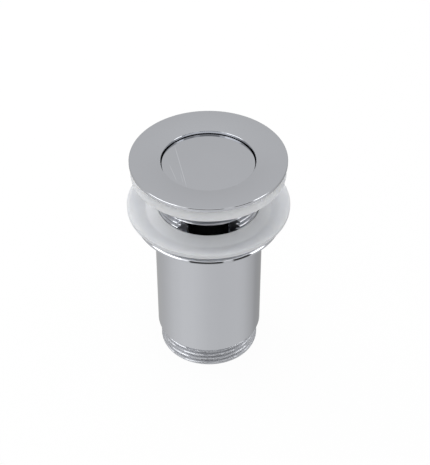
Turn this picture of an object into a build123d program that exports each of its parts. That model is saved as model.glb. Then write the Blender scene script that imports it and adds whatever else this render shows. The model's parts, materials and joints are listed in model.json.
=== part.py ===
from build123d import *
import os
from math import atan2, cos, degrees, hypot, radians, sin

os.makedirs("parts", exist_ok=True)

# Pop up basin waste, standing on its tail. Millimetres, +Z up, origin at the centre of the tail's end face.
# The plug is closed. The overflow slots face -Y and +Y.

# Driving sizes: whole object
overall_height = 97.5        # tail end to flange top
thread_radius = 20.955       # G 1 1/4 pipe thread, over the crests
thread_pitch = 2.309         # 11 threads to the inch

# Driving sizes: clearances
thread_fit = 0.05            # radial, in every screwed joint
slide_fit = 0.06             # radial, for pieces that slide or turn in each other
seat_fit = 0.05              # axial, between pieces that turn past each other
loose_fit = 0.3              # radial, round springs, washers and soft rings
same_radius = 0.05           # how close two radii are when an edge is picked by its radius

# Driving sizes: flange and neck
flange_radius = 31.5
flange_thickness = 1.6       # at the rim
flange_edge_round = 0.35
flange_land = 0.8            # flat rim, before the top falls to the mouth
mouth_fall = 1.15            # rim down to the mouth's edge
under_land = 4.0             # flat underside of the rim
under_fall = 0.9             # how far the underside falls from there to the neck
mouth_wall = 1.955           # neck crest to the mouth that the plug closes
mouth_edge = 0.15            # bevel round the mouth
mouth_depth = 6.2            # flange top to the conical seat
seat_step = 1.8              # how far the conical seat narrows the mouth
seat_rise = 1.3              # height of the cone
neck_length = 62.0           # flange top to the neck's lower end
neck_chamfer = 0.8

# Driving sizes: overflow slots, cut by a disc cutter from the front and the back
cutter_radius = 29.4
slot_reach = 3.1             # how far the cutter goes past the bore's wall
slot_top_drop = 17.5         # flange top to the slot's upper edge
slot_height = 12.0

# Driving sizes: spoked hub inside the neck
hub_wall = 3.4
hub_height = 5.0
spoke_count = 4
spoke_width = 3.0
spoke_height = 4.0
hub_chamfer = 0.5

# Driving sizes: plug
plug_gap = 0.4               # radial gap between the cap and the mouth
plug_drop = 2.5              # flange top down to the cap's rim when closed
cap_crown = 0.3              # rise of the cap's top over its rim
cap_thickness = 1.8          # at the rim
cap_chamfer = 0.35
boss_wall = 3.0              # round the spindle's thread
boss_hole_rise = 0.5         # how far the spindle's hole goes up into the cap
carrier_height = 5.7
carrier_gap = 0.6            # radial, carrier to the bore
o_ring_section = 2.4
o_ring_drop = 3.9            # cap underside to the middle of the seal
carrier_pocket = 3.2         # radial width of the moulded pocket
carrier_pocket_wall = 1.7
carrier_pocket_depth = 3.4
carrier_rib = 1.4
carrier_rib_count = 6
plug_washer_radius = 8.5
plug_washer_thickness = 1.0
lock_nut_flats = 10.0
lock_nut_height = 3.2
nut_chamfer = 0.4            # height of the bevel on nuts and screwed ends
nut_bevel_width = 0.8        # width of the bevel on a nut's corners

# Driving sizes: plug stroke
open_lift = 9.0              # closed to open
press_depth = 1.5            # closed to fully pressed
stroke_margin = 0.4          # axial room left at each end of the stroke

# Driving sizes: spindle and its fastenings
spindle_radius = 3.0
spindle_neck_radius = 2.2
clip_thickness = 0.6
clip_bite = 0.4              # how deep the clip's groove is
clip_gap = 2.6               # mouth of the clip
spring_washer_thickness = 0.5
spindle_end = 1.2            # spindle below the spring washer

# Driving sizes: spring
spring_wire = 0.8
spring_radius = 2.6          # to the middle of the wire
spring_turns = 8

# Driving sizes: cam sleeve, ring and pins
sleeve_wall = 1.0            # under the groove
groove_depth = 1.2
sleeve_top_wall = 1.6
sleeve_lip = 1.4             # solid height over the groove's top
pin_radius = 0.9
pin_cover = 0.65             # wall of the ring left outside the pins
groove_clearance = 0.2
cam_cycles = 2               # closed notches round the sleeve, one for each pin
release_turn = 57.0          # degrees that the ring turns from fully pressed to open
groove_steps = 4             # straight cuts along each long run
ring_height = 4.0
ring_wall = 2.4
key_height = 2.5
key_reach = 1.1
key_width = 1.8
key_count = 2

# Driving sizes: barrel and its caps
barrel_wall = 1.3
barrel_floor = 3.0
barrel_flat_height = 4.0
barrel_flat_depth = 1.0
guide_post_radius = 1.8
guide_post_height = 7.0
gland_collar = 3.0
gland_spigot = 3.0
gland_slot_width = 2.2
gland_slot_depth = 1.4
wiper_section = 1.4
stem_radius = 5.0
stem_end = 1.0               # stem below its nut
hub_washer_thickness = 1.0
hub_washer_reach = 3.6
hub_nut_flats = 16.0
hub_nut_height = 4.0

# Driving sizes: washers
washer_bore_gap = 0.35       # radial, washer to thread crest
upper_rim_radius = 31.1
upper_washer_height = 4.9
upper_top_inset = 0.9        # flange edge in to the washer's top
upper_valley_height = 3.2    # thickness where the dish is deepest
lower_rim_radius = 33.2
lower_washer_height = 5.75
lower_foot_inset = 1.4       # tube flange edge in to the washer's foot
lower_valley_height = 3.35
washer_rim_width = 1.0
upper_rim_height = 1.0
lower_rim_height = 1.6
washer_valley_share = 0.36   # of the way from the bore to the rim
washer_collar_drop = 0.5     # rim to the washer's inner edge
clamp_gap = 15.9             # between the rims of the two washers, as it stands

# Directions in which the washers' curved sides start and end
upper_side_start, upper_side_end = (0, -1), (0.1, -1)
upper_dish_start, upper_dish_end = (-0.6, 1), (-0.8, -1)
lower_side_start, lower_side_end = (0.4, 1), (1, 0.8)
lower_dish_start, lower_dish_end = (-1, -0.35), (-0.8, 1)

# Driving sizes: tube
tube_radius = 22.15
tube_flange_radius = 30.2
tube_flange_thickness = 1.65
tube_flange_round = 1.3      # along the upper edge
tube_flange_under_round = 0.2
tube_root_round = 0.8
tube_bore_wall = 2.755       # tail crest to the tail's bore
tail_length = 10.15
tail_chamfer = 0.3
step_chamfer = 0.2
screw_up_turns = 6           # turns that the tube can still be screwed up
screw_margin = 1.2           # left below the neck when the tube is screwed up

# Levels of the flange and the neck
flange_top = overall_height
flange_under = flange_top - flange_thickness
under_radius = flange_radius - under_land
root_level = flange_under - under_fall
neck_bottom = flange_top - neck_length
neck_radius = thread_radius
mouth_radius = neck_radius - mouth_wall
bore_radius = mouth_radius - seat_step
seat_top = flange_top - mouth_depth
seat_bottom = seat_top - seat_rise
slot_top = flange_top - slot_top_drop
cutter_distance = bore_radius - slot_reach + cutter_radius

# Levels of the plug
cap_radius = mouth_radius - plug_gap
cap_rim = flange_top - plug_drop
cap_under = cap_rim - cap_thickness
carrier_bottom = cap_under - carrier_height
plug_washer_bottom = carrier_bottom - plug_washer_thickness
lock_nut_bottom = plug_washer_bottom - lock_nut_height
boss_radius = spindle_radius + boss_wall
carrier_radius = bore_radius - carrier_gap
o_ring_radius = bore_radius - slide_fit - o_ring_section / 2
o_ring_level = cap_under - o_ring_drop
stroke = press_depth + open_lift

# Radii of the cartridge, from the spring outwards
sleeve_bore = spring_radius + spring_wire / 2 + loose_fit
groove_floor = sleeve_bore + sleeve_wall
sleeve_radius = groove_floor + groove_depth
guide_radius = sleeve_radius + slide_fit
ring_bore = sleeve_radius + 2 * slide_fit
ring_radius = ring_bore + ring_wall
barrel_bore = ring_radius + slide_fit
barrel_radius = barrel_bore + barrel_wall
key_radius = sleeve_radius + key_reach
groove_half_width = pin_radius + groove_clearance

# Heights on the cam sleeve, from its lower end
notch_open = key_height + stroke_margin + ring_height / 2
notch_pressed = notch_open + stroke
notch_closed = notch_open + open_lift
sleeve_height = notch_pressed + groove_half_width + sleeve_lip

# Levels of the cartridge, from the gland cap down
gland_top = lock_nut_bottom - press_depth - stroke_margin
gland_seat = gland_top - gland_collar
ceiling = gland_seat - gland_spigot
ring_level = ceiling - stroke_margin - sleeve_height + notch_open
ring_shelf = ring_level - ring_height / 2 - seat_fit
sleeve_bottom = ring_level - notch_closed
sleeve_top = sleeve_bottom + sleeve_height
floor_level = sleeve_bottom - press_depth - stroke_margin
barrel_bottom = floor_level - barrel_floor
hub_bottom = barrel_bottom - hub_height
hub_washer_bottom = hub_bottom - hub_washer_thickness
hub_nut_bottom = hub_washer_bottom - hub_nut_height
stem_bottom = hub_nut_bottom - stem_end
hub_bore = stem_radius + thread_fit
hub_radius = hub_bore + hub_wall

# Levels inside the cam sleeve
clip_top = sleeve_top - sleeve_top_wall
clip_bottom = clip_top - clip_thickness
spring_washer_bottom = clip_bottom - spring_washer_thickness
spindle_bottom = spring_washer_bottom - spindle_end
clip_groove_radius = spindle_neck_radius - clip_bite

# Levels of the washers and the tube
upper_washer_bottom = flange_under - upper_washer_height
lower_washer_top = upper_washer_bottom - clamp_gap
tube_top = lower_washer_top - lower_washer_height
washer_bore = neck_radius + washer_bore_gap
washer_root = flange_under - under_fall * (under_radius - washer_bore) / (under_radius - neck_radius)
tube_bore = neck_radius + thread_fit
tail_radius = thread_radius
tail_bore = tail_radius - tube_bore_wall
tube_step = neck_bottom - screw_up_turns * thread_pitch - screw_margin


def rims_of(piece, radius):
    """The piece's round edges of that radius, lowest first."""
    rings = piece.edges().filter_by(GeomType.CIRCLE)
    return rings.filter_by(lambda edge: abs(edge.radius - radius) < same_radius).sort_by(Axis.Z)


# Flange, neck and spoked hub
with BuildPart() as flange_body:
    with BuildSketch(Plane.XZ):
        with BuildLine():
            dished_top = TangentArc(
                (flange_radius - flange_land, flange_top), (mouth_radius, flange_top - mouth_fall),
                tangent=(-1, 0),
            )
            Polyline(
                dished_top @ 1, (mouth_radius, seat_top), (bore_radius, seat_bottom),
                (bore_radius, neck_bottom), (neck_radius, neck_bottom), (neck_radius, root_level),
                (under_radius, flange_under), (flange_radius, flange_under), (flange_radius, flange_top),
                dished_top @ 0,
            )
        make_face()
    revolve(axis=Axis.Z)
    fillet(rims_of(flange_body, flange_radius), flange_edge_round)
    chamfer(rims_of(flange_body, mouth_radius)[-1], mouth_edge)
    chamfer(rims_of(flange_body, neck_radius)[0], neck_chamfer)
    # The overflow slots, with the round ends that a disc cutter leaves
    with BuildSketch(Plane.XY.offset(slot_top - slot_height)):
        with Locations((0, cutter_distance), (0, -cutter_distance)):
            Circle(cutter_radius)
    extrude(amount=slot_height, mode=Mode.SUBTRACT)
    # The hub that carries the cartridge, on spokes that grow out of the neck's wall
    with BuildSketch(Plane.XY.offset(hub_bottom)):
        Circle(hub_radius)
    extrude(amount=hub_height)
    chamfer(rims_of(flange_body, hub_radius), hub_chamfer)
    spoke_inner = hub_radius - hub_wall / 2
    spoke_outer = (bore_radius + neck_radius) / 2
    with BuildSketch(Plane.XY.offset(hub_bottom)):
        with PolarLocations((spoke_inner + spoke_outer) / 2, spoke_count, start_angle=180 / spoke_count):
            Rectangle(spoke_outer - spoke_inner, spoke_width)
    extrude(amount=spoke_height)
    with BuildSketch(Plane.XY.offset(hub_bottom)):
        Circle(hub_bore)
    extrude(amount=hub_height, mode=Mode.SUBTRACT)


# Cap, with a threaded boss under it
with BuildPart() as plug_cap:
    boss_hole_top = cap_under + boss_hole_rise
    with BuildSketch(Plane.XZ):
        with BuildLine():
            crown = ThreePointArc(
                (0, cap_rim + cap_crown),
                (cap_radius / 2, cap_rim + cap_crown * 3 / 4),
                (cap_radius - cap_chamfer, cap_rim),
            )
            Polyline(
                crown @ 1, (cap_radius, cap_rim - cap_chamfer), (cap_radius, cap_under),
                (boss_radius, cap_under), (boss_radius, carrier_bottom),
                (spindle_radius + thread_fit, carrier_bottom), (spindle_radius + thread_fit, boss_hole_top),
                (0, boss_hole_top), (0, cap_rim + cap_crown),
            )
        make_face()
    revolve(axis=Axis.Z)
    fillet(rims_of(plug_cap, cap_radius)[0], cap_chamfer)


# Moulded carrier under the cap, grooved for the seal and pocketed from below
with BuildPart() as seal_carrier:
    o_ring_groove_radius = o_ring_radius - o_ring_section / 2 - thread_fit
    o_ring_groove_half = o_ring_section / 2 + thread_fit
    carrier_bore = boss_radius + thread_fit
    with BuildSketch(Plane.XZ):
        with BuildLine():
            Polyline(
                (carrier_bore, cap_under), (carrier_radius, cap_under),
                (carrier_radius, o_ring_level + o_ring_groove_half),
                (o_ring_groove_radius, o_ring_level + o_ring_groove_half),
                (o_ring_groove_radius, o_ring_level - o_ring_groove_half),
                (carrier_radius, o_ring_level - o_ring_groove_half),
                (carrier_radius, carrier_bottom), (carrier_bore, carrier_bottom), close=True,
            )
        make_face()
    revolve(axis=Axis.Z)
    pocket_outer = o_ring_groove_radius - carrier_pocket_wall
    with BuildSketch(Plane.XY.offset(carrier_bottom)):
        Circle(pocket_outer)
        Circle(pocket_outer - carrier_pocket, mode=Mode.SUBTRACT)
        with PolarLocations(pocket_outer - carrier_pocket / 2, carrier_rib_count):
            Rectangle(2 * carrier_pocket, carrier_rib, mode=Mode.SUBTRACT)
    extrude(amount=carrier_pocket_depth, mode=Mode.SUBTRACT)


# Seal of the plug, a plain ring of round section
with BuildPart() as plug_o_ring:
    with BuildSketch(Plane.XZ):
        with Locations((o_ring_radius, o_ring_level)):
            Circle(o_ring_section / 2)
    revolve(axis=Axis.Z)


# Hexagon nut with its lower corners turned off
def hexagon_nut(flats, bore, bottom, top):
    corner = flats / 2 / cos(radians(30))
    with BuildPart() as nut:
        with BuildSketch(Plane.XY.offset(bottom)):
            RegularPolygon(flats / 2, 6, major_radius=False)
            Circle(bore, mode=Mode.SUBTRACT)
        extrude(amount=top - bottom)
        with BuildSketch(Plane.XZ):
            with BuildLine():
                Polyline(
                    (0, bottom), (corner - nut_bevel_width, bottom), (corner, bottom + nut_chamfer),
                    (corner, top), (0, top), close=True,
                )
            make_face()
        revolve(axis=Axis.Z, mode=Mode.INTERSECT)
    return nut


# Washer and lock nut under the carrier
with BuildPart() as plug_washer:
    with BuildSketch(Plane.XY.offset(plug_washer_bottom)):
        Circle(plug_washer_radius)
        Circle(spindle_radius + thread_fit, mode=Mode.SUBTRACT)
    extrude(amount=plug_washer_thickness)

lock_nut = hexagon_nut(lock_nut_flats, spindle_radius + thread_fit, lock_nut_bottom, plug_washer_bottom)


# Spindle, screwed into the cap above and clipped into the cam sleeve below
with BuildPart() as spindle:
    with BuildSketch(Plane.XZ):
        with BuildLine():
            Polyline(
                (0, boss_hole_top - seat_fit), (spindle_radius - nut_chamfer, boss_hole_top - seat_fit),
                (spindle_radius, boss_hole_top - seat_fit - nut_chamfer), (spindle_radius, sleeve_top),
                (spindle_neck_radius, sleeve_top), (spindle_neck_radius, clip_top),
                (clip_groove_radius, clip_top), (clip_groove_radius, clip_bottom),
                (spindle_neck_radius, clip_bottom), (spindle_neck_radius, spindle_bottom),
                (0, spindle_bottom), close=True,
            )
        make_face()
    revolve(axis=Axis.Z)

with BuildPart() as spindle_clip:
    clip_radius = sleeve_bore - loose_fit
    with BuildSketch(Plane.XY.offset(clip_bottom)):
        Circle(clip_radius)
        Circle(clip_groove_radius, mode=Mode.SUBTRACT)
        with Locations((clip_radius, 0)):
            Rectangle(2 * clip_radius, clip_gap, mode=Mode.SUBTRACT)
    extrude(amount=clip_thickness)

with BuildPart() as spring_washer:
    with BuildSketch(Plane.XY.offset(spring_washer_bottom)):
        Circle(clip_radius)
        Circle(spindle_neck_radius + thread_fit, mode=Mode.SUBTRACT)
    extrude(amount=spring_washer_thickness)


# Return spring, closed up against the barrel's floor and the spring washer
with BuildPart() as return_spring:
    spring_low = floor_level + spring_wire / 2
    spring_high = spring_washer_bottom - spring_wire / 2
    with BuildLine():
        coil = Helix(
            pitch=(spring_high - spring_low) / spring_turns, height=spring_high - spring_low,
            radius=spring_radius, center=(0, 0, spring_low),
        )
    with BuildSketch(Plane(origin=coil @ 0, z_dir=coil % 0)):
        Circle(spring_wire / 2)
    sweep(path=coil, is_frenet=True)


# Cam sleeve: a hollow plunger with the W-shaped groove that the pins follow
def cam_path():
    """Angles and heights of the groove's corners, once round the sleeve."""
    latch_turn = 180 / cam_cycles - release_turn
    pressed_angle = -release_turn * press_depth / stroke
    corners = []
    for cycle in range(cam_cycles):
        start = pressed_angle + cycle * 360 / cam_cycles
        corners += [
            (start, notch_pressed), (start + release_turn, notch_open),
            (start + 2 * release_turn, notch_pressed),
            (start + 2 * release_turn + latch_turn, notch_closed),
        ]
    return corners + [(pressed_angle + 360, notch_pressed)]


with BuildPart() as cam_sleeve:
    with BuildSketch(Plane.XY.offset(sleeve_bottom)):
        Circle(sleeve_radius)
    extrude(amount=sleeve_height)
    with BuildSketch(Plane.XY.offset(sleeve_bottom)):
        with PolarLocations(sleeve_radius, key_count, start_angle=90):
            Rectangle(2 * key_reach, key_width)
    extrude(amount=key_height)
    with BuildSketch(Plane.XY.offset(sleeve_bottom)):
        Circle(sleeve_bore)
    extrude(amount=sleeve_height - sleeve_top_wall, mode=Mode.SUBTRACT)
    with BuildSketch(Plane.XY.offset(sleeve_bottom)):
        Circle(spindle_neck_radius + thread_fit)
    extrude(amount=sleeve_height, mode=Mode.SUBTRACT)
    # The groove, run by run in short straight cuts that stay square to the sleeve
    groove_mid_radius = (groove_floor + sleeve_radius) / 2
    corners = cam_path()
    for (angle_a, height_a), (angle_b, height_b) in zip(corners, corners[1:]):
        pieces = max(2, round(groove_steps * (angle_b - angle_a) / release_turn))
        turn = (angle_b - angle_a) / pieces
        rise = (height_b - height_a) / pieces
        reach = 2 * groove_mid_radius * sin(radians(turn / 2))
        for piece in range(pieces):
            middle = radians(angle_a + (piece + 0.5) * turn)
            facing = Plane(
                origin=(groove_floor * cos(middle), groove_floor * sin(middle), sleeve_bottom + height_a),
                x_dir=(-sin(middle), cos(middle), 0), z_dir=(cos(middle), sin(middle), 0),
            )
            with BuildSketch(facing):
                with Locations((0, (piece + 0.5) * rise)):
                    SlotCenterToCenter(
                        hypot(reach, rise), 2 * groove_half_width, rotation=degrees(atan2(rise, reach)))
            extrude(amount=2 * groove_depth, mode=Mode.SUBTRACT)


# Cam ring and its two pins, which reach in from the ring to the groove's floor
pin_seat_radius = ring_radius - pin_cover
pin_tip_radius = groove_floor + groove_clearance
pin_planes = [
    Plane(origin=(0, 0, ring_level), z_dir=(cos(angle), sin(angle), 0))
    for angle in (radians(cycle * 360 / cam_cycles) for cycle in range(cam_cycles))
]

with BuildPart() as cam_ring:
    with BuildSketch(Plane.XY.offset(ring_level - ring_height / 2)):
        Circle(ring_radius)
        Circle(ring_bore, mode=Mode.SUBTRACT)
    extrude(amount=ring_height)
    for pin_plane in pin_planes:
        with BuildSketch(pin_plane):
            Circle(pin_radius)
        extrude(amount=pin_seat_radius, mode=Mode.SUBTRACT)

with BuildPart() as follower_pins:
    for pin_plane in pin_planes:
        with BuildSketch(pin_plane.offset(pin_tip_radius)):
            Circle(pin_radius)
        extrude(amount=pin_seat_radius - pin_tip_radius)


# Barrel of the cartridge, with keyways for the cam sleeve and a stem through the hub
with BuildPart() as barrel:
    with BuildSketch(Plane.XZ):
        with BuildLine():
            Polyline(
                (0, stem_bottom), (stem_radius - nut_chamfer, stem_bottom),
                (stem_radius, stem_bottom + nut_chamfer), (stem_radius, barrel_bottom),
                (barrel_radius, barrel_bottom), (barrel_radius, gland_seat), (barrel_bore, gland_seat),
                (barrel_bore, ring_shelf), (guide_radius, ring_shelf), (guide_radius, floor_level),
                (guide_post_radius, floor_level), (guide_post_radius, floor_level + guide_post_height),
                (0, floor_level + guide_post_height), close=True,
            )
        make_face()
    revolve(axis=Axis.Z)
    with BuildSketch(Plane.XY.offset(floor_level)):
        with PolarLocations(guide_radius, key_count, start_angle=90):
            Rectangle(2 * (key_radius + slide_fit - guide_radius), key_width + 2 * slide_fit)
        Circle(guide_radius - slide_fit, mode=Mode.SUBTRACT)
    extrude(amount=ring_shelf - floor_level, mode=Mode.SUBTRACT)
    # Two flats for a spanner
    flat_middle = barrel_radius - barrel_flat_depth / 2
    with BuildSketch(Plane.XY.offset(barrel_bottom)):
        with Locations((flat_middle, 0), (-flat_middle, 0)):
            Rectangle(barrel_flat_depth, 2 * barrel_radius)
    extrude(amount=barrel_flat_height, mode=Mode.SUBTRACT)


# Bush over the cam ring
with BuildPart() as guide_bush:
    bush_bottom = ring_level + ring_height / 2 + seat_fit
    with BuildSketch(Plane.XY.offset(bush_bottom)):
        Circle(barrel_bore - thread_fit)
        Circle(guide_radius, mode=Mode.SUBTRACT)
    extrude(amount=ceiling - bush_bottom)


# Gland cap and the wiper ring in it
wiper_radius = spindle_radius + slide_fit + wiper_section / 2
wiper_level = gland_top - gland_collar / 2

with BuildPart() as gland_cap:
    wiper_groove_half = wiper_section / 2 + thread_fit
    wiper_groove_radius = wiper_radius + wiper_section / 2 + thread_fit
    gland_bore = spindle_radius + slide_fit
    with BuildSketch(Plane.XZ):
        with BuildLine():
            Polyline(
                (gland_bore, gland_top), (barrel_radius - nut_chamfer, gland_top),
                (barrel_radius, gland_top - nut_chamfer), (barrel_radius, gland_seat),
                (barrel_bore - thread_fit, gland_seat), (barrel_bore - thread_fit, ceiling),
                (gland_bore, ceiling), (gland_bore, wiper_level - wiper_groove_half),
                (wiper_groove_radius, wiper_level - wiper_groove_half),
                (wiper_groove_radius, wiper_level + wiper_groove_half),
                (gland_bore, wiper_level + wiper_groove_half), close=True,
            )
        make_face()
    revolve(axis=Axis.Z)
    # Two notches for a pin spanner
    with BuildSketch(Plane.XY.offset(gland_top)):
        with Locations((barrel_radius, 0), (-barrel_radius, 0)):
            Rectangle(barrel_wall + ring_wall, gland_slot_width)
    extrude(amount=-gland_slot_depth, mode=Mode.SUBTRACT)

with BuildPart() as spindle_seal:
    with BuildSketch(Plane.XZ):
        with Locations((wiper_radius, wiper_level)):
            Circle(wiper_section / 2)
    revolve(axis=Axis.Z)


# Washer and nut under the hub
with BuildPart() as hub_washer:
    with BuildSketch(Plane.XY.offset(hub_washer_bottom)):
        Circle(stem_radius + hub_washer_reach)
        Circle(stem_radius + thread_fit, mode=Mode.SUBTRACT)
    extrude(amount=hub_washer_thickness)

hub_nut = hexagon_nut(hub_nut_flats, stem_radius + thread_fit, hub_nut_bottom, hub_washer_bottom)


# Upper washer: a soft cup, rim down, under the flange
with BuildPart() as upper_washer:
    upper_top_radius = flange_radius - upper_top_inset
    upper_valley_radius = washer_bore + washer_valley_share * (upper_rim_radius - washer_bore)
    with BuildSketch(Plane.XZ):
        with BuildLine():
            outside = Spline(
                (upper_top_radius, flange_under),
                (upper_rim_radius, upper_washer_bottom + upper_rim_height),
                tangents=(upper_side_start, upper_side_end),
            )
            Polyline(
                outside @ 1, (upper_rim_radius, upper_washer_bottom),
                (upper_rim_radius - washer_rim_width, upper_washer_bottom),
            )
            dish = Spline(
                (upper_rim_radius - washer_rim_width, upper_washer_bottom),
                (upper_valley_radius, flange_under - upper_valley_height),
                (washer_bore, upper_washer_bottom + washer_collar_drop),
                tangents=(upper_dish_start, upper_dish_end),
            )
            Polyline(
                dish @ 1, (washer_bore, washer_root), (under_radius, flange_under),
                (upper_top_radius, flange_under),
            )
        make_face()
    revolve(axis=Axis.Z)


# Lower washer: the same kind of cup, rim up, on the tube's flange
with BuildPart() as lower_washer:
    lower_foot_radius = tube_flange_radius - lower_foot_inset
    lower_valley_radius = washer_bore + washer_valley_share * (lower_rim_radius - washer_bore)
    with BuildSketch(Plane.XZ):
        with BuildLine():
            flare = Spline(
                (lower_foot_radius, tube_top),
                (lower_rim_radius, lower_washer_top - lower_rim_height),
                tangents=(lower_side_start, lower_side_end),
            )
            Polyline(
                flare @ 1, (lower_rim_radius, lower_washer_top),
                (lower_rim_radius - washer_rim_width, lower_washer_top),
            )
            bowl = Spline(
                (lower_rim_radius - washer_rim_width, lower_washer_top),
                (lower_valley_radius, tube_top + lower_valley_height),
                (washer_bore, lower_washer_top - washer_collar_drop),
                tangents=(lower_dish_start, lower_dish_end),
            )
            Polyline(bowl @ 1, (washer_bore, tube_top), (lower_foot_radius, tube_top))
        make_face()
    revolve(axis=Axis.Z)


# Tube with its clamping flange, the bore for the neck's thread and the tail thread
with BuildPart() as tube_body:
    tube_flange_under = tube_top - tube_flange_thickness
    with BuildSketch(Plane.XZ):
        with BuildLine():
            Polyline(
                (tube_bore, tube_top), (tube_flange_radius, tube_top),
                (tube_flange_radius, tube_flange_under), (tube_radius, tube_flange_under),
                (tube_radius, tail_length), (tail_radius, tail_length), (tail_radius, 0), (tail_bore, 0),
                (tail_bore, tube_step), (tube_bore, tube_step), close=True,
            )
        make_face()
    revolve(axis=Axis.Z)
    fillet(rims_of(tube_body, tube_flange_radius)[-1], tube_flange_round)
    fillet(rims_of(tube_body, tube_flange_radius)[0], tube_flange_under_round)
    fillet(rims_of(tube_body, tube_radius)[-1], tube_root_round)
    chamfer(rims_of(tube_body, tube_radius)[0], step_chamfer)
    chamfer(rims_of(tube_body, tail_radius)[0], tail_chamfer)


# Names and files, one for each piece
pieces_by_name = {
    "flange_body": flange_body, "plug_cap": plug_cap, "seal_carrier": seal_carrier,
    "plug_o_ring": plug_o_ring, "plug_washer": plug_washer, "lock_nut": lock_nut, "spindle": spindle,
    "spindle_clip": spindle_clip, "spring_washer": spring_washer, "return_spring": return_spring,
    "cam_sleeve": cam_sleeve, "cam_ring": cam_ring, "follower_pins": follower_pins, "barrel": barrel,
    "guide_bush": guide_bush, "gland_cap": gland_cap, "spindle_seal": spindle_seal,
    "hub_washer": hub_washer, "hub_nut": hub_nut, "upper_washer": upper_washer,
    "lower_washer": lower_washer, "tube_body": tube_body,
}
for name, piece in pieces_by_name.items():
    piece.part.label = name
    export_step(piece.part, f"parts/{name}.step")
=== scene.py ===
import json
from math import atan2, cos, hypot, pi, radians, sin, tan

import bmesh
import bpy
import numpy as np
from bpy.props import FloatProperty, FloatVectorProperty, IntProperty, PointerProperty
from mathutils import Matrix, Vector


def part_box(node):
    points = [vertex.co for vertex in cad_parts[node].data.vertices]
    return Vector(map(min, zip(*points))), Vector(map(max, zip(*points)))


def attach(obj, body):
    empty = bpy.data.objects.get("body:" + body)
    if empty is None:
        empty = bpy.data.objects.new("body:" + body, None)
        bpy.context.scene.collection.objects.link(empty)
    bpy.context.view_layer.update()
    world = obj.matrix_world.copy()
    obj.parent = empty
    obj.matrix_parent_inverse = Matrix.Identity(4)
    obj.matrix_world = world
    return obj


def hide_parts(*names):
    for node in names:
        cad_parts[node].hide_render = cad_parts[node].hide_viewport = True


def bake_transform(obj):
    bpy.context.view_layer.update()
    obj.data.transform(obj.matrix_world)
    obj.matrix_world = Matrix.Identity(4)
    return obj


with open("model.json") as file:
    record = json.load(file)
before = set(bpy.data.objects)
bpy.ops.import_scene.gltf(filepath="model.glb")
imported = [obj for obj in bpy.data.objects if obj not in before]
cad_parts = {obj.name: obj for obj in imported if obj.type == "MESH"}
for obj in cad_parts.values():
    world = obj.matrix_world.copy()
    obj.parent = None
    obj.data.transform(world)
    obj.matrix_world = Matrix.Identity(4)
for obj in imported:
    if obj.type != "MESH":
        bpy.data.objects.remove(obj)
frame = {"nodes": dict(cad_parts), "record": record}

bl_info = {
    "name": "Basin Waste",
    "version": (1, 0, 0),
    "blender": (4, 5, 0),
    "location": "3D View > Sidebar > Basin Waste",
    "description": "Dresses a slotted pop up basin waste and sets it on a pale floor under soft light",
    "category": "Add Mesh",
}


# Sizes that come from the frame
def lowest(node):
    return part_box(node)[0].z


def highest(node):
    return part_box(node)[1].z


def outer_radius(node):
    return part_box(node)[1].x


def mount_size(name, key):
    """A size of one of the record's mounts, in metres."""
    mounts = {mount["name"]: mount for mount in frame["record"]["mounts"]}
    return mounts[name]["dims"][key] / 1000


def coupling_ratio(joint):
    couplings = {row["joint"]: row for row in frame["record"]["behaviour"]["couplings"]}
    return couplings[joint]["ratio"]


THREAD_RADIUS = mount_size("tail_thread", "r_mm")
THREAD_PITCH = 2 * pi * coupling_ratio("clamp_slide")
DEPTH_IN_PITCHES = 0.6403  # of a pipe thread
THREAD_DEPTH = DEPTH_IN_PITCHES * THREAD_PITCH
FLANGE_TOP = highest("flange_body")
FLANGE_UNDER = highest("upper_washer")
NECK_BOTTOM = lowest("flange_body")
TUBE_TOP = highest("tube_body")

# Mesh points round the axis
CUTTER_TURNS, PLUG_TURNS, FLOOR_TURNS, HUB_TURNS, SPINDLE_TURNS = 360, 180, 128, 96, 64
# Mesh points along a slot's bevel, across the flange's top and the plug's, along a coil and round its wire
BEVEL_POINTS, DISH_POINTS, CROWN_POINTS, COIL_POINTS, WIRE_POINTS = 60, 20, 24, 28, 12


def length(name, description, default):
    """A size in metres."""
    return FloatProperty(name=name, description=description, default=default, unit="LENGTH", precision=5)


def share(name, description, default):
    """A number from 0 to 1."""
    return FloatProperty(name=name, description=description, default=default, min=0, max=1, subtype="FACTOR")


def colour(name, description, default):
    return FloatVectorProperty(
        name=name, description=description, default=default, size=3, min=0, max=1, subtype="COLOR"
    )


class WasteThread(bpy.types.PropertyGroup):
    """The pipe thread that the neck, the tube's bore and the tail share"""

    radius: length("Crest radius", "Radius over the crests", THREAD_RADIUS)
    pitch: length("Pitch", "Rise of the thread in one turn", THREAD_PITCH)
    depth: length("Depth", "Crest to root", THREAD_DEPTH)
    clearance: length("Clearance", "Radial room between the neck's thread and the tube's", 0.00005)
    samples: IntProperty(name="Points a pitch", description="Mesh points along one pitch", default=10, min=6)
    turns: IntProperty(name="Points a turn", description="Mesh points round the axis", default=180, min=24)


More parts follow.
